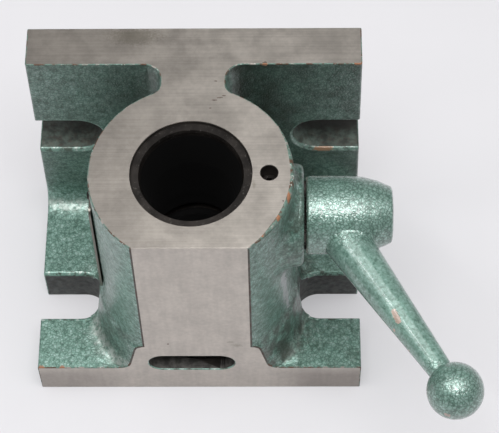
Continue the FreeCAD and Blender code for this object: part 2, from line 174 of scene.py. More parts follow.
def put(tree, kind, inputs=None, **settings):
    """Add a node, set its properties and fill or link its inputs."""
    node = tree.nodes.new(kind)
    for key, value in settings.items():
        setattr(node, key, value)
    for key, value in (inputs or {}).items():
        if isinstance(value, bpy.types.NodeSocket):
            tree.links.new(value, node.inputs[key])
        else:
            node.inputs[key].default_value = value
    return node


def start_material(name):
    """An empty material with its place in millimetres: the tree, the place socket."""
    material = bpy.data.materials.new(name)
    material.use_nodes = True
    tree = material.node_tree
    tree.nodes.clear()
    coord = put(tree, "ShaderNodeTexCoord")
    place = put(tree, "ShaderNodeVectorMath", {0: coord.outputs["Object"], "Scale": 1000.0},
                operation="SCALE")
    return material, tree, place.outputs[0]


def finish_surface(tree, color, metallic, rough, height, depth, clear=None):
    """End a material with its colour, metal, roughness and bumps, whose depth is in
    millimetres; clear holds the settings of a clear top."""
    bump = put(tree, "ShaderNodeBump", {"Height": height, "Distance": depth * MM})
    surface = put(tree, "ShaderNodeBsdfPrincipled",
                  {"Base Color": color, "Metallic": metallic, "Roughness": rough,
                   "Normal": bump.outputs[0], **(clear or {})})
    put(tree, "ShaderNodeOutputMaterial", {"Surface": surface.outputs[0]})


def blend_colors(tree, factor, first, second):
    """Colour mix; each colour is a socket or linear red, green and blue."""
    values = [c if isinstance(c, bpy.types.NodeSocket) else rgba(c) for c in (first, second)]
    return put(tree, "ShaderNodeMix", {"Factor": factor, 6: values[0], 7: values[1]},
               data_type="RGBA").outputs[2]


def blend_value(tree, factor, first, second):
    return put(tree, "ShaderNodeMix", {"Factor": factor, 2: first, 3: second}).outputs[0]


def between(tree, value, low, high, to_low=0.0, to_high=1.0):
    """A value taken smoothly from one range to another."""
    node = put(tree, "ShaderNodeMapRange",
               {"Value": value, "From Min": low, "From Max": high,
                "To Min": to_low, "To Max": to_high},
               interpolation_type="SMOOTHSTEP")
    return node.outputs["Result"]


def times(tree, first, second, operation="MULTIPLY"):
    """Two values multiplied, or joined by another operation."""
    return put(tree, "ShaderNodeMath", {0: first, 1: second}, operation=operation).outputs[0]


def components(tree, vector):
    parts = put(tree, "ShaderNodeSeparateXYZ", {0: vector})
    return parts.outputs[0], parts.outputs[1], parts.outputs[2]


def tool_lines(tree, place, stretch, detail=2.0):
    """Noise drawn out into lines, as a tool leaves them; stretch says how often it changes
    along each axis, per millimetre."""
    drawn = put(tree, "ShaderNodeVectorMath", {0: place, 1: stretch}, operation="MULTIPLY")
    noise = put(tree, "ShaderNodeTexNoise",
                {"Vector": drawn.outputs[0], "Scale": 1.0, "Detail": detail})
    return noise.outputs["Fac"]


def ragged_spots(tree, place, spots, soft=0.2):
    """Mask of ragged patches, each given as a middle point and a half size, in millimetres."""
    drift = put(tree, "ShaderNodeTexNoise", {"Vector": place, "Scale": 1.3, "Detail": 3.0})
    push = put(tree, "ShaderNodeVectorMath", {0: drift.outputs["Color"], 1: (0.5, 0.5, 0.5)},
               operation="SUBTRACT")
    moved = put(tree, "ShaderNodeVectorMath", {0: push.outputs[0], "Scale": 1.6},
                operation="SCALE")
    total = None
    for middle, half in spots:
        offset = put(tree, "ShaderNodeVectorMath", {0: place, 1: middle}, operation="SUBTRACT")
        scaled = put(tree, "ShaderNodeVectorMath", {0: offset.outputs[0], 1: half},
                     operation="DIVIDE")
        joined = put(tree, "ShaderNodeVectorMath", {0: scaled.outputs[0], 1: moved.outputs[0]},
                     operation="ADD")
        away = put(tree, "ShaderNodeVectorMath", {0: joined.outputs[0]}, operation="LENGTH")
        mask = between(tree, away.outputs["Value"], 1.05 - soft, 1.05, 1.0, 0.0)
        total = mask if total is None else times(tree, total, mask, "MAXIMUM")
    return total


# Chips in the enamel: middle and half size, in millimetres
CHIPS_ON_LEVER = [
    ((73.6, -44.5, 93.1), (1.0, 1.5, 1.2)),
    ((74.2, -46.0, 92.9), (1.1, 1.6, 1.3)),
    ((74.9, -47.4, 92.6), (1.2, 1.6, 1.3)),
    ((73.6, -49.7, 89.1), (0.7, 0.8, 0.8)),
    ((78.8, -57.5, 87.8), (0.6, 0.8, 0.7)),
    ((91.2, -83.2, 89.0), (1.5, 1.2, 1.0)),
]
CHIPS_ON_CASTING = [
    ((-63.4, -31.1, 18.1), (1.6, 1.0, 0.8)),
    ((-55.0, -31.1, 18.1), (1.2, 0.9, 0.8)),
    ((26.9, 47.4, 117.2), (1.2, 1.0, 1.0)),
    ((49.9, 47.9, 56.4), (4.2, 1.6, 1.1)),
    ((62.6, 47.8, 117.2), (2.6, 0.8, 0.7)),
    ((35.4, -10.2, 117.0), (0.8, 2.5, 0.7)),
    ((31.4, -18.2, 117.0), (1.2, 2.0, 0.7)),
    ((25.9, -26.1, 117.1), (0.8, 0.6, 0.6)),
]
# A strip of the plinth by the right slot, painted light grey as a reflection of the floor
FLOOR_REFLECTION_STRIP = [
    ((33.6, -17.3, 68.0), (1.6, 2.2, 8.0)),
    ((34.4, -15.6, 56.0), (1.5, 2.1, 13.0)),
    ((35.4, -13.6, 44.0), (1.4, 1.8, 8.0)),
]


# How the enamel lies on the old, oily casting, which also carries painted shade, highlight and
# reflection, and on the lever, which hands keep clean
CASTING_COAT = {
    "grime_and_painted_light": True, "line": 0.58, "powder": {"Scale": 0.45, "Detail": 3.5, "Roughness": 0.62},
    "depth": (0.82, 0.98), "rough": (0.54, 0.42), "metallic": 0.5,
    "rust": (linear(0x6B4A38), linear(0xA88772)),
    "clear": {"Coat Weight": 0.6, "Coat Roughness": 0.12, "Coat IOR": 1.5},
}
LEVER_COAT = {
    "grime_and_painted_light": False, "line": 0.75, "powder": {"Scale": 0.62, "Detail": 5.0, "Roughness": 0.68},
    "depth": (0.78, 0.94), "rough": (0.68, 0.32), "metallic": 0.44,
    "rust": (linear(0x8B7466), linear(0xC6B2A4)),
    "clear": {"Coat Weight": 1.0, "Coat Roughness": 0.07, "Coat IOR": 1.75},
}


def hammered_enamel(name, enamel, coat, chips, calm=None):
    """Alkyd hammer enamel, sprayed on rough iron: shallow cells 1.3 mm across with thin
    darker lines between them, aluminium powder that makes them glint, a glossy clear top.
    calm gives the y from which and to which the enamel flowed out nearly smooth."""
    material, tree, place = start_material(name)
    drift = put(tree, "ShaderNodeTexNoise", {"Vector": place, "Scale": 0.5, "Detail": 2.0})
    bend = put(tree, "ShaderNodeVectorMath",
               {0: drift.outputs["Color"], 1: (1.2, 1.2, 1.2), 2: place},
               operation="MULTIPLY_ADD")
    per_mm = 1.0 / (enamel.cell / MM)
    net = put(tree, "ShaderNodeTexVoronoi",
              {"Vector": bend.outputs[0], "Scale": per_mm, "Randomness": 1.0},
              feature="DISTANCE_TO_EDGE")
    inward = net.outputs["Distance"]
    dome = between(tree, inward, 0.0, 0.32)
    line = between(tree, inward, 0.0, 0.15, coat["line"], 0.0)
    if calm:
        y = components(tree, place)[1]
        still = times(tree, between(tree, y, calm[0], calm[0] - 8.0),
                      between(tree, y, calm[1], calm[1] - 5.0, 1.0, 0.0))
        still = between(tree, still, 0.0, 1.0, 1.0, 0.15)
        line = times(tree, line, still)
    # Aluminium powder gathers in drifts 1 to 3 mm wide.
    powder = put(tree, "ShaderNodeTexNoise",
                 {"Vector": place, "Distortion": 0.4, **coat["powder"]}).outputs["Fac"]
    color = blend_colors(tree, between(tree, powder, 0.32, 0.54), enamel.dark, enamel.green)
    color = blend_colors(tree, between(tree, powder, 0.52, 0.70, 0.0, 0.7), color, enamel.fleck)
    color = blend_colors(tree, between(tree, inward, 0.15, 0.42, 0.0, 0.22), color, enamel.fleck)
    color = blend_colors(tree, line, color, tuple(0.55 * c for c in enamel.dark))
    # Coverage varies over 10 to 20 mm.
    cloud = put(tree, "ShaderNodeTexNoise", {"Vector": place, "Scale": 0.07, "Detail": 3.0})
    # On the casting: old oil with painted shade, dust with a painted highlight, brown oil with
    # painted shade, and a painted reflection.
    if coat["grime_and_painted_light"]:
        color = blend_colors(tree, wall_oil_and_shade(tree, place), color, linear(0x2B2922))
        color = blend_colors(tree, dust_and_painted_highlight(tree, place), color, linear(0xC6D2CB))
        color = blend_colors(tree, plinth_oil_and_shade(tree, place), color, linear(0x3E3D34))
        # Painted reflection of the floor: a light grey strip on the plinth by the right slot.
        floor_reflection = times(tree, ragged_spots(tree, place, FLOOR_REFLECTION_STRIP, 0.45), 0.75)
        color = blend_colors(tree, floor_reflection, color, linear(0xB4B6B9))
    depth = between(tree, cloud.outputs["Fac"], 0.3, 0.7, *coat["depth"])
    color = put(tree, "ShaderNodeVectorMath", {0: color, "Scale": depth},
                operation="SCALE").outputs[0]
    # The powder lies flat in its drifts, so they shine more than the enamel beside them.
    rough = between(tree, powder, 0.38, 0.64, *coat["rough"])
    if calm:
        rough = blend_value(tree, still, 0.7, rough)
    # The sand of the mould leaves lumps of 3 to 5 mm under the enamel.
    lumps = put(tree, "ShaderNodeTexNoise",
                {"Vector": place, "Scale": 0.28, "Detail": 3.0, "Roughness": 0.6})
    height = times(tree, lumps.outputs["Fac"], 2.6)
    height = times(tree, height, times(tree, powder, 0.6), "ADD")
    height = times(tree, times(tree, dome, 0.8), height, "ADD")
    if calm:
        height = times(tree, height, still)
        dome = times(tree, dome, still)
    mask = ragged_spots(tree, place, chips)
    stain = put(tree, "ShaderNodeTexNoise", {"Vector": place, "Scale": 1.1, "Detail": 3.0})
    rust = blend_colors(tree, stain.outputs["Fac"], *coat["rust"])
    color = blend_colors(tree, mask, color, rust)
    rough = blend_value(tree, mask, rough, 0.75)
    metallic = between(tree, mask, 0.0, 1.0, coat["metallic"], 0.1)
    height = times(tree, height, mask, "SUBTRACT")
    # The clear top stands in full domes over the cells, so that each one catches the light.
    # On the handled lever powder lies at its surface, which shines more than clear resin.
    domes = put(tree, "ShaderNodeBump",
                {"Height": times(tree, height, times(tree, dome, 0.8), "ADD"),
                 "Distance": 0.05 * MM})
    finish_surface(tree, color, metallic, rough, height, 0.032,
                   {"Coat Normal": domes.outputs[0], **coat["clear"]})
    return material


def from_upright(tree, x, y):
    """Distance from the bore's axis, in millimetres."""
    flat = put(tree, "ShaderNodeCombineXYZ", {0: x, 1: y})
    return put(tree, "ShaderNodeVectorMath", {0: flat.outputs[0]},
               operation="LENGTH").outputs["Value"]


def plinth_oil_and_shade(tree, place):
    """Mask of brown oil and painted shade round the plinth's foot, in the slots' inner ends and on
    the boss, heavier on the right.
    """
    x, y, z = components(tree, place)
    out = from_upright(tree, x, y)
    ring = times(tree, between(tree, out, 36.5, 39.5), between(tree, out, 43.0, 54.0, 1.0, 0.0))
    ring = times(tree, ring, between(tree, z, 30.0, 75.0, 1.0, 0.1))
    # Painted shade: heavier towards the right.
    ring = times(tree, ring, between(tree, x, -30.0, 30.0, 0.55, 1.0))
    boss = times(tree, between(tree, x, 24.0, 34.0), between(tree, z, 66.0, 74.0))
    boss = times(tree, boss, between(tree, y, 14.0, 20.0, 0.75, 0.0))
    # Painted shade on the right flank of the casting.
    flank = times(tree, between(tree, x, 17.0, 23.0), between(tree, y, 5.0, -5.0))
    boss = times(tree, boss, times(tree, flank, 0.3), "MAXIMUM")
    patch = put(tree, "ShaderNodeTexNoise",
                {"Vector": place, "Scale": 0.22, "Detail": 4.0, "Roughness": 0.65})
    mask = times(tree, times(tree, ring, boss, "MAXIMUM"),
                 between(tree, patch.outputs["Fac"], 0.32, 0.62))
    return times(tree, mask, 0.8)


def wall_oil_and_shade(tree, place):
    """Mask of old oil and painted shade that dull the back plate's front, most of all in the
    notches by the neck and towards the right.
    """
    x, y, z = components(tree, place)
    away = put(tree, "ShaderNodeMath", {0: x}, operation="ABSOLUTE").outputs[0]
    deep = between(tree, away, 22.0, 48.0, 0.62, 0.40)
    # Painted shade: darker towards the right.
    deep = times(tree, deep, between(tree, x, -20.0, 20.0, 0.0, 0.17), "ADD")
    drift = put(tree, "ShaderNodeTexNoise", {"Vector": place, "Scale": 0.1, "Detail": 3.0})
    deep = times(tree, deep, between(tree, drift.outputs["Fac"], 0.3, 0.7, 0.8, 1.2))
    wall = times(tree, between(tree, y, 40.0, 46.5), between(tree, z, 24.0, 36.0))
    return times(tree, wall, times(tree, deep, 1.0, "MINIMUM"))


def dust_and_painted_highlight(tree, place):
    """Mask of pale dust and a painted highlight along the fillet between the plinth and the left of
    the base.
    """
    x, y, z = components(tree, place)
    out = from_upright(tree, x, y)
    low = times(tree, between(tree, z, 18.3, 19.0), between(tree, z, 20.5, 23.5, 1.0, 0.0))
    low = times(tree, low, between(tree, y, -6.0, -12.0))
    low = times(tree, low, between(tree, out, 37.0, 40.0))
    low = times(tree, low, between(tree, x, 20.0, -20.0, 0.35, 1.0))
    # A painted highlight lies along the foot of the back plate on the left.
    foot = times(tree, between(tree, z, 18.3, 19.0), between(tree, z, 19.8, 22.0, 1.0, 0.0))
    foot = times(tree, foot, times(tree, between(tree, y, 37.0, 42.0),
                                   between(tree, x, -38.0, -44.0, 0.0, 0.8)))
    patch = put(tree, "ShaderNodeTexNoise",
                {"Vector": place, "Scale": 0.5, "Detail": 4.0, "Roughness": 0.7})
    return times(tree, times(tree, low, foot, "ADD"),
                 between(tree, patch.outputs["Fac"], 0.38, 0.6, 0.1, 0.8))


# Dark pits and dull oil stains on the ground faces: middle and half size, in millimetres
PITS = [
    ((-11.4, -31.2, 39.9), (0.5, 0.6, 0.5)),
    ((33.5, -11.9, 117.5), (0.35, 0.35, 0.5)),
    ((6.6, 28.0, 117.5), (0.6, 0.25, 0.6)),
    ((8.6, 40.0, 117.5), (0.55, 0.25, 0.6)),
    ((8.2, 31.5, 117.5), (1.2, 0.25, 0.6)),
    ((10.2, 32.6, 117.5), (1.3, 0.28, 0.6)),
    ((11.8, 33.5, 117.5), (0.8, 0.25, 0.6)),
    ((26.9, 48.2, 117.5), (0.9, 0.6, 0.6)),
]
STAINS = [
    ((22.9, -5.0, 117.5), (0.8, 2.4, 1.0)),
    ((15.6, -31.2, 38.6), (2.6, 1.0, 2.2)),
    ((13.0, -31.2, 41.5), (2.0, 1.0, 1.2)),
    ((-22.5, 60.5, 117.5), (13.0, 5.0, 1.0)),
]


def ground_cast_iron(name, steel):
    """Grey cast iron, surface ground: satin, warm grey, with fine lines along the stroke of
    the wheel, faint clouds of old oil, and a few pits and stains."""
    material, tree, place = start_material(name)
    coord = put(tree, "ShaderNodeTexCoord")
    level = between(tree, components(tree, coord.outputs["Normal"])[2], 0.4, 0.6)
    # Wheel lines are finer than 0.2 mm; drawn 0.6 mm apart so that they show.
    lines = tool_lines(tree, place, (0.03, 1.7, 0.03))
    streaks = tool_lines(tree, place, (0.5, 0.05, 0.05), 3.0)
    cloud = put(tree, "ShaderNodeTexNoise",
                {"Vector": place, "Scale": 0.09, "Detail": 5.0, "Roughness": 0.6})
    speck = put(tree, "ShaderNodeTexNoise",
                {"Vector": place, "Scale": 0.6, "Detail": 4.0, "Roughness": 0.6})
    grain = blend_value(tree, level, between(tree, streaks, 0.2, 0.8, 0.35, 0.65), lines)
    tone = between(tree, grain, 0.3, 0.7, 0.94, 1.05)
    # Faces that look up are painted a little darker, as painted shade.
    tone = times(tree, tone, between(tree, level, 0.0, 1.0, 1.0, 0.94))
    tone = times(tree, tone, between(tree, cloud.outputs["Fac"], 0.3, 0.7, 0.90, 1.06))
    tone = times(tree, tone, between(tree, speck.outputs["Fac"], 0.35, 0.65, 0.95, 1.04))
    color = put(tree, "ShaderNodeVectorMath", {0: tuple(steel.ground_iron), "Scale": tone},
                operation="SCALE").outputs[0]
    # The top is darker towards the left, and faces that do not look up are darker low down, most at
    # the base's ends.
    x, _, z = components(tree, place)
    top_left_darkening = times(tree, level, between(tree, x, 25.0, -55.0, 0.0, 0.36))
    color = blend_colors(tree, top_left_darkening, color, linear(0x4E4740))
    ends = times(tree, between(tree, x, 26.0, 48.0, 0.0, 0.40),
                 between(tree, x, -26.0, -48.0, 0.0, 0.26), "ADD")
    foot = times(tree, times(tree, ends, 0.12, "ADD"), between(tree, level, 1.0, 0.0))
    foot = times(tree, foot, between(tree, z, 22.0, 10.0))
    color = blend_colors(tree, foot, color, linear(0x544B46))
    stain = ragged_spots(tree, place, STAINS, 0.8)
    color = blend_colors(tree, times(tree, stain, 0.35), color, linear(0x6A6450))
    pit = ragged_spots(tree, place, PITS)
    color = blend_colors(tree, times(tree, pit, 0.7), color, linear(0x5C4A40))
    rough = between(tree, cloud.outputs["Fac"], 0.3, 0.7, 0.33, 0.40)
    rough = blend_value(tree, pit, rough, 0.8)
    height = times(tree, grain, times(tree, pit, 6.0), "SUBTRACT")
    finish_surface(tree, color, 0.9, rough, height, 0.012)
    return material


def worn_edge(name):
    """The break between a ground face and the enamel: a thin ragged line, part brown rust,
    part enamel, and here and there a pale rim or bare iron."""
    material, tree, place = start_material(name)
    run = put(tree, "ShaderNodeTexNoise",
              {"Vector": place, "Scale": 0.30, "Detail": 4.0, "Roughness": 0.6}).outputs["Fac"]
    fine = put(tree, "ShaderNodeTexNoise",
               {"Vector": place, "Scale": 0.9, "Detail": 3.0}).outputs["Fac"]
    color = blend_colors(tree, between(tree, run, 0.40, 0.52), linear(0x5A4335), linear(0x5F7A70))
    color = blend_colors(tree, between(tree, run, 0.56, 0.64), color, linear(0x9A938C))
    bare = between(tree, fine, 0.62, 0.72, 0.0, 0.8)
    color = blend_colors(tree, bare, color, linear(0xC2CFC8))
    # Up the plinth's front corners the line is whole and brown.
    _, y, z = components(tree, place)
    upright = times(tree, between(tree, y, -30.2, -30.8), between(tree, z, 20.0, 24.0))
    upright = times(tree, upright, between(tree, z, 117.0, 116.0))
    color = blend_colors(tree, times(tree, upright, 0.75), color, linear(0x4A3733))
    chip = ragged_spots(tree, place, CHIPS_ON_CASTING)
    color = blend_colors(tree, chip, color, linear(0x93664A))
    finish_surface(tree, color, 0.3, 0.55, run, 0.2)
    return material


def slot_lip_enamel(name, enamel):
    """Enamel worn by washers at a slot's lip: pale, with broken bright spots that are painted
    highlight.
    """
    material, tree, place = start_material(name)
    run = put(tree, "ShaderNodeTexNoise",
              {"Vector": place, "Scale": 0.33, "Detail": 5.0, "Roughness": 0.65}).outputs["Fac"]
    color = blend_colors(tree, between(tree, run, 0.40, 0.50), linear(0x4E5D52), enamel.green)
    # Painted highlight: broken bright spots.
    color = blend_colors(tree, between(tree, run, 0.54, 0.64), color, linear(0xD5DED8))
    # The back plate's slot lips are darker, as painted shade, more towards the right.
    x, y, _ = components(tree, place)
    shade = times(tree, between(tree, y, 38.0, 44.0), between(tree, x, -10.0, 10.0, 0.35, 0.6))
    color = blend_colors(tree, shade, color, linear(0x3C4A43))
    chip = ragged_spots(tree, place, CHIPS_ON_CASTING)
    color = blend_colors(tree, chip, color, linear(0x83654C))
    finish_surface(tree, color, 0.25, 0.35, run, 0.4,
                   {"Coat Weight": 0.5, "Coat Roughness": 0.15})
    return material


def sooty_casting(name, tint, rusty=0.0, depth=None):
    """Rough grey iron as cast, under thin primer and old oil: dull and dark, lumpy. rusty is the
    share of brown; depth gives the y from which and to which it is darkened with painted shade,
    more towards the right."""
    material, tree, place = start_material(name)
    lumps = put(tree, "ShaderNodeTexNoise",
                {"Vector": place, "Scale": 0.35, "Detail": 5.0, "Roughness": 0.6}).outputs["Fac"]
    oil = put(tree, "ShaderNodeTexNoise",
              {"Vector": place, "Scale": 0.09, "Detail": 3.0}).outputs["Fac"]
    dark = tuple(c * 0.55 for c in tint)
    light = tuple(min(1.0, c * 1.45) for c in tint)
    color = blend_colors(tree, between(tree, lumps, 0.35, 0.65), dark, light)
    color = blend_colors(tree, between(tree, oil, 0.5, 0.7, 0.0, 0.5), color, linear(0x2A2623))
    if rusty:
        bloom = put(tree, "ShaderNodeTexNoise",
                    {"Vector": place, "Scale": 0.5, "Detail": 5.0, "Roughness": 0.7})
        rust = between(tree, bloom.outputs["Fac"], 0.42, 0.62, 0.0, rusty)
        color = blend_colors(tree, rust, color, linear(0x5B4136))
    if depth:
        # Painted shade: darker deeper into the slot and towards the right.
        x, y, _ = components(tree, place)
        slot_shade = times(tree, between(tree, y, *depth), between(tree, x, -10.0, 10.0, 0.7, 0.95))
        color = blend_colors(tree, slot_shade, color, linear(0x110E0B))
    finish_surface(tree, color, 0.1, 0.6, lumps, 0.4)
    return material


def bored_iron(name):
    """Grey iron, bored and reamed, with a film of dark oil, and painted dark as painted shade
    inside the holes: dim rings along the tool's feed.
    """
    material, tree, place = start_material(name)
    feed = tool_lines(tree, place, (0.05, 0.05, 2.2))
    oil = put(tree, "ShaderNodeTexNoise",
              {"Vector": place, "Scale": 0.12, "Detail": 3.0}).outputs["Fac"]
    # Dark tones: oil film and painted shade.
    color = blend_colors(tree, between(tree, oil, 0.35, 0.65), linear(0x3A3734), linear(0x5C5752))
    finish_surface(tree, color, 0.8, 0.42, feed, 0.01)
    return material


def black_oxide_steel(name, steel, axis, wear=0.5, shade_within=0.0):
    """Steel, turned and blackened in hot salts: near black with a soft sheen, fine turning rings,
    and pale specks where the black has worn off. axis is the turning axis; nearer to the upright
    axis than the last argument, in millimetres, it is painted near black as painted shade."""
    material, tree, place = start_material(name)
    feed = tool_lines(tree, place, tuple(2.0 if a else 0.06 for a in axis))
    speck = put(tree, "ShaderNodeTexNoise",
                {"Vector": place, "Scale": 1.1, "Detail": 4.0, "Roughness": 0.7}).outputs["Fac"]
    patch = put(tree, "ShaderNodeTexNoise",
                {"Vector": place, "Scale": 0.15, "Detail": 3.0}).outputs["Fac"]
    color = blend_colors(tree, between(tree, patch, 0.35, 0.65), steel.black_oxide,
                         linear(0x2F2B28))
    color = blend_colors(tree, between(tree, speck, 0.60, 0.70, 0.0, wear), color,
                         linear(0x8D8984))
    rough = between(tree, patch, 0.3, 0.7, 0.34, 0.5)
    if shade_within:
        x, y, _ = components(tree, place)
        # Painted shade inside the bore: near black.
        bore_shade = between(tree, from_upright(tree, x, y), shade_within + 0.2, shade_within, 0.0, 0.97)
        color = blend_colors(tree, bore_shade, color, linear(0x060606))
        rough = blend_value(tree, bore_shade, rough, 0.85)
    finish_surface(tree, color, 0.7, rough, feed, 0.01)
    return material


def turned_steel(name, steel, axis):
    """Bare steel, turned: bright grey with rings at the feed of the tool, 0.25 mm apart,
    drawn 0.5 mm apart so that they show. axis is the turning axis."""
    material, tree, place = start_material(name)
    feed = tool_lines(tree, place, tuple(2.0 if a else 0.05 for a in axis))
    oil = put(tree, "ShaderNodeTexNoise",
              {"Vector": place, "Scale": 0.2, "Detail": 3.0}).outputs["Fac"]
    dull = tuple(c * 0.7 for c in steel.turned_steel)
    color = blend_colors(tree, between(tree, oil, 0.35, 0.65), dull, steel.turned_steel)
    rough = between(tree, feed, 0.3, 0.7, 0.24, 0.36)
    finish_surface(tree, color, 1.0, rough, feed, 0.01)
    return material


def rolled_aluminium(name, steel):
    """Aluminium sheet, rolled and left bare: pale, satin, with fine lines up and down and a
    few dull spots."""
    material, tree, place = start_material(name)
    lines = tool_lines(tree, place, (0.5, 3.0, 0.06))
    spots = put(tree, "ShaderNodeTexNoise",
                {"Vector": place, "Scale": 0.3, "Detail": 4.0}).outputs["Fac"]
    dull = tuple(c * 0.84 for c in steel.aluminium)
    color = blend_colors(tree, between(tree, spots, 0.45, 0.75), steel.aluminium, dull)
    # The sheared edges are dull with old oil.
    coord = put(tree, "ShaderNodeTexCoord")
    flat = put(tree, "ShaderNodeMath", {0: components(tree, coord.outputs["Normal"])[0]},
               operation="ABSOLUTE").outputs[0]
    color = blend_colors(tree, between(tree, flat, 0.5, 0.8, 0.8, 0.0), color, linear(0x5A5650))
    rough = between(tree, lines, 0.3, 0.7, 0.28, 0.4)
    finish_surface(tree, color, 1.0, rough, lines, 0.008)
    return material


def matt_paper(name, color):
    """Matt backdrop paper: pale, no gloss, the faintest mottle. Two fifths of what the eye
    sees is its own even glow, as on a lit sweep, so that shadows on it stay pale; it sends
    little light back up."""
    material, tree, place = start_material(name)
    fibre = put(tree, "ShaderNodeTexNoise", {"Vector": place, "Scale": 0.02, "Detail": 4.0})
    tone = between(tree, fibre.outputs["Fac"], 0.3, 0.7, 0.99, 1.01)
    base = put(tree, "ShaderNodeVectorMath", {0: tuple(color), "Scale": tone}, operation="SCALE")
    glow = put(tree, "ShaderNodeEmission", {"Color": rgba(linear(0xE6E5E8))})
    ray = put(tree, "ShaderNodeLightPath")
    seen = times(tree, ray.outputs["Is Camera Ray"], ray.outputs["Is Glossy Ray"], "MAXIMUM")
    seen = times(tree, seen, ray.outputs["Is Transmission Ray"], "MAXIMUM")
    dull = put(tree, "ShaderNodeVectorMath",
               {0: base.outputs[0], "Scale": between(tree, seen, 0.0, 1.0, 0.55, 1.0)},
               operation="SCALE")
    paper = put(tree, "ShaderNodeBsdfDiffuse", {"Color": dull.outputs[0]})
    mix = put(tree, "ShaderNodeMixShader",
              {0: times(tree, seen, 0.4), 1: paper.outputs[0], 2: glow.outputs[0]})
    put(tree, "ShaderNodeOutputMaterial", {"Surface": mix.outputs[0]})
    return material


# Meshes


def cleaned_copy(node):
    """An editable copy of a CAD node's mesh, with the points its faces share made one."""
    mesh = bmesh.new()
    mesh.from_mesh(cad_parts[node].data)
    bmesh.ops.remove_doubles(mesh, verts=mesh.verts, dist=1e-6)
    mesh.normal_update()
    return mesh


def new_piece(name, mesh, materials):
    data = bpy.data.meshes.new(name)
    mesh.to_mesh(data)
    mesh.free()
    piece = bpy.data.objects.new(name, data)
    bpy.context.scene.collection.objects.link(piece)
    for material in materials:
        data.materials.append(material)
    return piece


def settle(piece):
    """Make the piece's modifiers part of its mesh."""
    bpy.context.view_layer.update()
    graph = bpy.context.evaluated_depsgraph_get()
    data = bpy.data.meshes.new_from_object(piece.evaluated_get(graph))
    piece.modifiers.clear()
    piece.data = data
    return data


def round_edges(piece, weight, material=-1):
    """Round the piece's edges by their bevel weights and even out its shading."""
    bevel = piece.modifiers.new("edges", "BEVEL")
    bevel.width = WIDEST_BEVEL
    bevel.limit_method = "WEIGHT"
    bevel.segments = 3
    bevel.use_clamp_overlap = False
    bevel.material = material
    level = piece.modifiers.new("level", "WEIGHTED_NORMAL")
    level.mode = "FACE_AREA"
    level.weight = weight
    level.keep_sharp = True
    return settle(piece)


def dress_node(node, material):
    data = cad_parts[node].data
    data.materials.clear()
    data.materials.append(material)


# Finishes of the casting, by material slot number
ENAMEL, GROUND, EDGE, LIP, SLOT_WALL, BACK_SLOT_WALL, BORED, WINDOW = range(8)


def casting_finish(center, normal, low, high):
    """Which finish a face of the casting has, from where it is and where it faces."""
    x, y, z = (c / MM for c in center)
    from_bore = math.hypot(x, y)
    if normal.z > 0.99 and z > high.z / MM - 0.1:
        return GROUND
    if normal.y < -0.99 and y < low.y / MM + 0.1:
        return GROUND
    if normal.z < -0.99 and z < low.z / MM + 0.1:
        return GROUND
    if normal.y > 0.99 and y > high.y / MM - 0.1:
        return GROUND
    if normal.x > 0.99 and 41.0 < x < 41.6:
        return GROUND
    if from_bore < 22.5 or (from_bore < 28.6 and z < 30.5):
        return BORED
    if math.hypot(y, z - SHAFT_Z) < 9.7 and 20 < x < 41.5:
        return BORED
    if math.hypot(x - SCREW_X, y) < 3.3 and z > 90:
        return BORED
    if abs(x - WINDOW_X) < 17.3 and abs(z - WINDOW_Z) < 6.2 and y < -20:
        return WINDOW
    from_base_slot, from_back_slot = abs(y - BASE_SLOT_Y), abs(z - BACK_SLOT_Z)
    if 0.4 < normal.z < 0.95 and from_base_slot < 11.3 and 17.0 < z < 18.3 and abs(x) > 37:
        return LIP
    if -0.95 < normal.y < -0.4 and from_back_slot < 11.7 and 47.3 < y < 48.7 and abs(x) > 36:
        return LIP
    if abs(normal.z) < 0.2 and z < 17.6 and from_base_slot < 10.1 and abs(x) > 38:
        return SLOT_WALL
    if abs(normal.y) < 0.2 and y > 47.4 and from_back_slot < 10.6 and abs(x) > 37:
        return BACK_SLOT_WALL
    return ENAMEL


def room_beside(edge):
    """How far the nearer of an edge's two faces reaches away from the edge."""
    start = edge.verts[0].co
    along = (edge.verts[1].co - start).normalized()
    reaches = []
    for face in edge.link_faces:
        offsets = [v.co - start for v in face.verts]
        reaches.append(max((o - along * o.dot(along)).length for o in offsets))
    return min(reaches)


def relief(x, y):
    """Share of the collar's wider rounding at a point of its rim: one towards the lever,
    none beyond 52 degrees to its front and 30 degrees to its back."""
    turn = math.degrees(math.atan2(y, x))
    return min(1.0, max(0.0, (turn + 52) / 16)) * min(1.0, max(0.0, (30 - turn) / 20))


def widen_rim(data, casting, high):
    """Widen the rounding of the collar's top where it was left as cast."""
    for vertex in data.vertices:
        x, y, z = vertex.co
        reach = math.hypot(x, y)
        out, down = COLLAR_RADIUS * MM - reach, high.z - z
        near = 1.2 * casting.ground_edge
        if x > 0 and -0.01 * MM < out < near and down < near:
            more = relief(x, y) * casting.collar_relief / casting.ground_edge
            scale = 1 - more * out / reach
            vertex.co = (x * scale, y * scale, z - more * down)


def edge_width(edge, casting):
    """How wide the rounding of an edge of the casting is, in metres."""
    if len(edge.link_faces) != 2:
        return 0.0
    first, second = edge.link_faces
    angle = edge.calc_face_angle_signed(0.0)
    if abs(angle) < SHARP:
        return 0.0
    kinds = {first.material_index, second.material_index}
    if BORED in kinds:
        width = 0.25 * MM if GROUND in kinds else 0.0
    elif GROUND in kinds:
        width = casting.ground_edge if len(kinds) > 1 else 0.3 * casting.ground_edge
    elif angle < 0:
        width = 0.0
    elif kinds & {SLOT_WALL, BACK_SLOT_WALL, WINDOW, LIP} or abs(angle) < math.radians(60):
        width = casting.lip_edge
    else:
        width = casting.cast_edge
    return min(width, 0.3 * room_beside(edge))


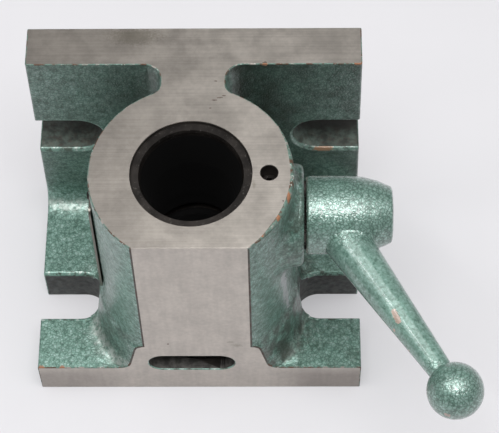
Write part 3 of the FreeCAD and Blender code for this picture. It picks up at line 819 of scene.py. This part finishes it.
def edge_finish(center, low, high):
    """Which finish a rounded edge of the casting has, from where it is."""
    x, y, z = (c / MM for c in center)
    near_ground = (z > high.z / MM - 0.6 or y < low.y / MM + 0.6 or z < 0.6
                   or y > high.y / MM - 0.6 or 40.7 < x < 41.6)
    if near_ground and abs(x - WINDOW_X) < 17.6 and abs(z - WINDOW_Z) < 6.8:
        return LIP
    if math.hypot(x, y) < 24 or math.hypot(x - SCREW_X, y) < 4:
        return BORED
    if z > high.z / MM - 0.6 and y < low.y / MM + 0.6 and abs(x) < 20.8:
        return GROUND
    if near_ground:
        return EDGE
    if abs(y - BASE_SLOT_Y) < 11.6 and 16.5 < z < 18.5 and abs(x) > 37:
        return LIP
    if abs(z - BACK_SLOT_Z) < 12.0 and 46.8 < y < 49.2 and abs(x) > 36:
        return LIP
    return ENAMEL


def build_casting(settings):
    """The cast body with each finish on its own faces and every edge broken or rounded."""
    casting, enamel, steel = settings.casting, settings.enamel, settings.steel
    low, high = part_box("body_casting")
    mesh = cleaned_copy("body_casting")
    for face in mesh.faces:
        face.material_index = casting_finish(face.calc_center_median(), face.normal, low, high)
    bmesh.ops.dissolve_limit(mesh, angle_limit=math.radians(0.6), verts=mesh.verts,
                             edges=mesh.edges, delimit={"MATERIAL"})
    weight = mesh.edges.layers.float.new("bevel_weight_edge")
    for edge in mesh.edges:
        edge[weight] = edge_width(edge, casting) / WIDEST_BEVEL
        edge.smooth = edge[weight] > 0 or edge.calc_face_angle(0.0) <= SHARP
    for face in mesh.faces:
        face.smooth = True
    mesh.from_mesh(eased_skin("body_casting", hollow_of_casting, casting.fillet_rounds))
    materials = [
        hammered_enamel("hammered_enamel_on_cast_iron", enamel, CASTING_COAT, CHIPS_ON_CASTING),
        ground_cast_iron("surface_ground_cast_iron", steel),
        worn_edge("worn_enamel_edge"),
        slot_lip_enamel("worn_lip_with_painted_highlight", enamel),
        sooty_casting("primed_slot_wall", linear(0x4B504E), 0.12),
        sooty_casting("slot_wall_oil_and_painted_shade", linear(0x525E57), 0.25, (50.0, 61.0)),
        bored_iron("bored_cast_iron_in_painted_shade"),
        # The window's walls are dark grey as painted shade.
        sooty_casting("window_wall_in_painted_shade", linear(0x504E4B)),
    ]
    piece = new_piece("casting_dressed", mesh, materials)
    data = round_edges(piece, 90, EDGE)
    for face in data.polygons:
        if face.material_index == EDGE:
            face.material_index = edge_finish(face.center, low, high)
    widen_rim(data, casting, high)
    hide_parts("body_casting")
    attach(piece, "body")


def hollow_of_casting(x, y, z):
    """Which points, in millimetres, lie in an inner corner of the body left as cast."""
    from_bore = np.hypot(x, y)
    in_holes = (np.hypot(x - SCREW_X, y) < 4.5) | ((np.hypot(y, z - SHAFT_Z) < 10.5) & (x > 15))
    outside = ((from_bore > 37.3) | (x > 24)) & (from_bore > 29) & ~in_holes
    clear = (z > 18.0) & (z < 116.5) & (y > -31.2) & (y < 47.8) & (x < 41.0)
    in_slot = (np.abs(y - BASE_SLOT_Y) < 10.0) & (np.abs(x) > 38.9) & (z < 40)
    in_back_slot = (np.abs(z - BACK_SLOT_Z) < 12.0) & (np.abs(x) > 37) & (y > 46)
    on_seat = (x < -30) & (np.abs(y) < 23) & (z > 44) & (z < 109)
    return outside & clear & ~in_slot & ~in_back_slot & ~on_seat


def hollow_of_lever(x, y, z):
    """Which points, in millimetres, lie round the root of the arm on the hub."""
    in_bore = np.hypot(y, z - SHAFT_Z) < 10.5
    return (y < -6) & (y > -30) & (x > 43) & (x < 73.5) & ~in_bore


def eased_skin(node, may_rise, rounds, grain=0.8 * MM):
    """Soft fillets in a casting's inner corners: a fine skin of the node is eased outwards
    where it is hollow, and only the eased part is kept. may_rise picks its free points,
    and grain is how far apart they lie."""
    piece = new_piece("skin_of_" + node, cleaned_copy(node), [])
    fine = piece.modifiers.new("fine", "REMESH")
    fine.mode = "VOXEL"
    fine.voxel_size = grain
    data = settle(piece)
    bpy.data.objects.remove(piece)
    count = len(data.vertices)
    rest = np.empty(count * 3)
    data.vertices.foreach_get("co", rest)
    rest = rest.reshape(-1, 3)
    normals = np.array([v.normal for v in data.vertices])
    pairs = np.empty(len(data.edges) * 2, dtype=np.int64)
    data.edges.foreach_get("vertices", pairs)
    one, two = pairs.reshape(-1, 2).T
    near = np.bincount(one, minlength=count) + np.bincount(two, minlength=count)
    free = may_rise(*(rest / MM).T)
    raised = np.zeros(count)
    for _ in range(rounds):
        now = rest + normals * raised[:, None]
        sums = [np.bincount(one, now[two, k], count) + np.bincount(two, now[one, k], count)
                for k in range(3)]
        mean = np.stack(sums, axis=1) / near[:, None]
        lift = ((mean - now) * normals).sum(1)
        raised += np.where(free & (lift > 0), 0.9 * lift, 0.0)
    keep = raised > 0.04 * MM
    # The fringe of the skin dips under the casting, so that it begins without a step.
    part = np.clip(raised / (0.3 * MM), 0.0, 1.0)
    sink = 0.10 * MM * (1.0 - part * part * (3.0 - 2.0 * part))
    place = rest + normals * (raised - sink)[:, None]
    data.vertices.foreach_set("co", place.ravel())
    mesh = bmesh.new()
    mesh.from_mesh(data)
    unused = [f for f in mesh.faces if not any(keep[v.index] for v in f.verts)]
    bmesh.ops.delete(mesh, geom=unused, context="FACES")
    for face in mesh.faces:
        face.smooth = True
    data.clear_geometry()
    mesh.to_mesh(data)
    mesh.free()
    return data


def build_lever(settings):
    """The lever's hub, arm and ball as one smooth casting, blended where they meet."""
    mesh = cleaned_copy("lever_handle")
    enamel = hammered_enamel("hammered_enamel_on_lever", settings.enamel, LEVER_COAT,
                             CHIPS_ON_LEVER, (-13, -61))
    bmesh.ops.dissolve_limit(mesh, angle_limit=math.radians(0.4), verts=mesh.verts,
                             edges=mesh.edges)
    weight = mesh.edges.layers.float.new("bevel_weight_edge")
    for edge in mesh.edges:
        angle = edge.calc_face_angle_signed(0.0) if len(edge.link_faces) == 2 else 0.0
        middle = (edge.verts[0].co + edge.verts[1].co) / 2
        inside = math.hypot(middle.y, middle.z - SHAFT_Z * MM) < 9.7 * MM
        if angle > SHARP and not inside:
            edge[weight] = min(0.6 * MM, 0.3 * room_beside(edge)) / WIDEST_BEVEL
        at_root = -30 * MM < middle.y < -8 * MM
        edge.smooth = edge[weight] > 0 or abs(angle) < (math.radians(14) if at_root else SHARP)
    for face in mesh.faces:
        face.smooth = True
    mesh.from_mesh(eased_skin("lever_handle", hollow_of_lever, 5, 0.5 * MM))
    piece = new_piece("lever_dressed", mesh, [enamel])
    round_edges(piece, 60)
    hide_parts("lever_handle")
    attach(piece, "lever")


def build_toothed_washer(settings):
    """Lock washer between the boss and the hub, with a ring of small teeth."""
    low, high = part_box("hub_washer")
    middle = (low + high) / 2
    outer = (high.z - low.z) / 2
    inner, tooth = 9.6 * MM, 0.9 * MM
    teeth = 48
    count = 2 * teeth
    mesh = bmesh.new()
    rings = []
    for x in (low.x, high.x):
        center = Vector((x, middle.y, middle.z))
        ring = []
        for i in range(count):
            angle = math.pi * (i + 0.5) / teeth
            toward = Vector((0, math.cos(angle), math.sin(angle)))
            reach = outer if i % 2 else outer - tooth
            ring.append([mesh.verts.new(center + toward * inner),
                         mesh.verts.new(center + toward * reach)])
        rings.append(ring)
    a, b = rings
    for i in range(count):
        j = (i + 1) % count
        mesh.faces.new([a[i][0], a[j][0], a[j][1], a[i][1]])
        mesh.faces.new([b[i][0], b[i][1], b[j][1], b[j][0]])
        mesh.faces.new([a[i][1], a[j][1], b[j][1], b[i][1]])
        mesh.faces.new([a[i][0], b[i][0], b[j][0], a[j][0]])
    bmesh.ops.recalc_face_normals(mesh, faces=mesh.faces)
    steel = black_oxide_steel("black_oxide_washer", settings.steel, (1, 0, 0), 0.9)
    piece = new_piece("toothed_washer", mesh, [steel])
    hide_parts("hub_washer")
    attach(piece, "body")


# Operators


class HOLDER_OT_casting(bpy.types.Operator):
    """Build the cast body with its ground, enamelled and worn finishes"""

    bl_idname = "collet_holder.casting"
    bl_label = "Cast body"

    def execute(self, context):
        build_casting(context.scene.collet_holder)
        return {"FINISHED"}


class HOLDER_OT_lever(bpy.types.Operator):
    """Build the ball-ended lever and the toothed washer behind its hub"""

    bl_idname = "collet_holder.lever"
    bl_label = "Lever"

    def execute(self, context):
        settings = context.scene.collet_holder
        build_lever(settings)
        build_toothed_washer(settings)
        dress_node("lever_pin", turned_steel("turned_steel_pin", settings.steel, (0, 0, 1)))
        dress_node("cam_shaft", turned_steel("turned_steel_shaft", settings.steel, (1, 0, 0)))
        return {"FINISHED"}


class HOLDER_OT_sleeve(bpy.types.Operator):
    """Finish the closing sleeve, its key and the lock screw"""

    bl_idname = "collet_holder.sleeve"
    bl_label = "Closing sleeve"

    def execute(self, context):
        steel = context.scene.collet_holder.steel
        black = black_oxide_steel("black_oxide_sleeve", steel, (0, 0, 1), 0.35, 18.5)
        dress_node("closing_sleeve", black)
        dress_node("collet_key", turned_steel("turned_steel_key", steel, (0, 1, 0)))
        screw = black_oxide_steel("black_oxide_screw", steel, (0, 0, 1), 1.0)
        dress_node("shaft_lock_screw", screw)
        return {"FINISHED"}


class HOLDER_OT_draw_nut(bpy.types.Operator):
    """Finish the draw nut, its washers and its retaining ring"""

    bl_idname = "collet_holder.draw_nut"
    bl_label = "Draw nut"

    def execute(self, context):
        steel = context.scene.collet_holder.steel
        dress_node("draw_nut", black_oxide_steel("black_oxide_nut", steel, (0, 0, 1), 0.3, 17.5))
        ring = black_oxide_steel("black_oxide_ring", steel, (0, 0, 1), 0.7)
        dress_node("retaining_ring", ring)
        washer = turned_steel("ground_steel_washer", steel, (0, 0, 1))
        dress_node("upper_thrust_washer", washer)
        dress_node("lower_thrust_washer", washer)
        return {"FINISHED"}


class HOLDER_OT_side_plate(bpy.types.Operator):
    """Finish the bare side plate and its drive screws"""

    bl_idname = "collet_holder.side_plate"
    bl_label = "Side plate"

    def execute(self, context):
        steel = context.scene.collet_holder.steel
        dress_node("side_plate", rolled_aluminium("rolled_aluminium_plate", steel))
        screw = black_oxide_steel("oiled_drive_screw", steel, (1, 0, 0), 0.9)
        dress_node("side_plate_screws", screw)
        return {"FINISHED"}


class HOLDER_OT_stage(bpy.types.Operator):
    """Lay the pale floor, hang the soft lights and set the camera"""

    bl_idname = "collet_holder.stage"
    bl_label = "Stage"

    def execute(self, context):
        stage = context.scene.collet_holder.stage
        lay_floor(stage)
        light_stage(context.scene, stage)
        aim_camera(context.scene, stage)
        context.scene.view_settings.view_transform = "Standard"
        return {"FINISHED"}


def lay_floor(stage):
    """A sheet of matt paper under the holder, just clear of its underside."""
    mesh = bmesh.new()
    bmesh.ops.create_grid(mesh, x_segments=8, y_segments=8, size=2.0)
    floor = new_piece("floor", mesh, [matt_paper("matt_backdrop_paper", stage.floor)])
    floor.location.z = -0.2 * MM


def light_stage(scene, stage):
    """A wide softbox overhead, a smaller one above the front and a narrow strip on the left,
    in an evenly pale room."""
    world = bpy.data.worlds.new("pale_room")
    world.use_nodes = True
    tree = world.node_tree
    tree.nodes.clear()
    room = put(tree, "ShaderNodeBackground",
               {"Color": (1.0, 1.0, 1.0, 1.0), "Strength": stage.room})
    put(tree, "ShaderNodeOutputWorld", {"Surface": room.outputs[0]})
    scene.world = world
    hang_softbox(scene, "overhead_softbox", stage.softbox_power, (2.2, 1.0), (0.05, -0.08, 1.10))
    hang_softbox(scene, "front_softbox", stage.front_power, (0.65, 0.42), (0.07, -0.26, 1.09))
    # The strip lies along the lever's arm, which shows it as one thin line.
    hang_softbox(scene, "left_strip", stage.left_power, (0.30, 0.05), (-0.61, -0.035, 1.10),
                 math.radians(-59))


def hang_softbox(scene, name, power, size, place, turn=0.0):
    """A soft lamp that shines straight down from a place, turned about the upright axis."""
    lamp = bpy.data.lights.new(name, "AREA")
    lamp.shape = "RECTANGLE"
    lamp.size, lamp.size_y = size
    lamp.energy = power
    holder = bpy.data.objects.new(name, lamp)
    scene.collection.objects.link(holder)
    holder.location = place
    holder.rotation_euler = (0, 0, turn)


# Where the camera stands, in metres, and the directions of its sight and of its right side
CAMERA_PLACE = (0.0313, -0.36045, 0.7175)
CAMERA_SIGHT = (-0.0143, 0.4953, -0.8686)
CAMERA_RIGHT = (0.9999, 0.0049, -0.0137)


def aim_camera(scene, stage):
    """A long lens in front and above, looking down at the holder."""
    camera = bpy.data.objects.new("camera", bpy.data.cameras.new("camera"))
    scene.collection.objects.link(camera)
    camera.data.sensor_width = 36.0
    camera.data.lens = stage.lens
    camera.data.clip_start = 0.01
    camera.data.clip_end = 20.0
    forward = Vector(CAMERA_SIGHT).normalized()
    right = Vector(CAMERA_RIGHT)
    right = (right - forward * right.dot(forward)).normalized()
    up = right.cross(forward)
    turn = Matrix((right, up, -forward)).transposed()
    camera.matrix_world = Matrix.Translation(CAMERA_PLACE) @ turn.to_4x4()
    scene.camera = camera


class HOLDER_PT_panel(bpy.types.Panel):
    """Panel with every step of the collet chuck holder"""

    bl_idname = "HOLDER_PT_panel"
    bl_label = "Collet chuck holder"
    bl_space_type = "VIEW_3D"
    bl_region_type = "UI"
    bl_category = "Collet holder"

    def draw(self, context):
        settings = context.scene.collet_holder
        for group in (settings.casting, settings.enamel, settings.steel, settings.stage):
            box = self.layout.box()
            for key in group.bl_rna.properties.keys():
                if key not in ("rna_type", "name"):
                    box.prop(group, key)
        for operator in OPERATORS:
            self.layout.operator(operator.bl_idname)


GROUPS = (CastingSettings, EnamelSettings, SteelSettings, StageSettings, HolderSettings)
OPERATORS = (HOLDER_OT_casting, HOLDER_OT_lever, HOLDER_OT_sleeve, HOLDER_OT_draw_nut,
             HOLDER_OT_side_plate, HOLDER_OT_stage)


def register():
    for group in GROUPS + OPERATORS + (HOLDER_PT_panel,):
        bpy.utils.register_class(group)
    bpy.types.Scene.collet_holder = bpy.props.PointerProperty(type=HolderSettings)


def unregister():
    del bpy.types.Scene.collet_holder
    for group in reversed(GROUPS + OPERATORS + (HOLDER_PT_panel,)):
        bpy.utils.unregister_class(group)


def main():
    register()
    bpy.ops.collet_holder.casting()
    bpy.ops.collet_holder.lever()
    bpy.ops.collet_holder.sleeve()
    bpy.ops.collet_holder.draw_nut()
    bpy.ops.collet_holder.side_plate()
    bpy.ops.collet_holder.stage()


if __name__ == "__main__":
    main()
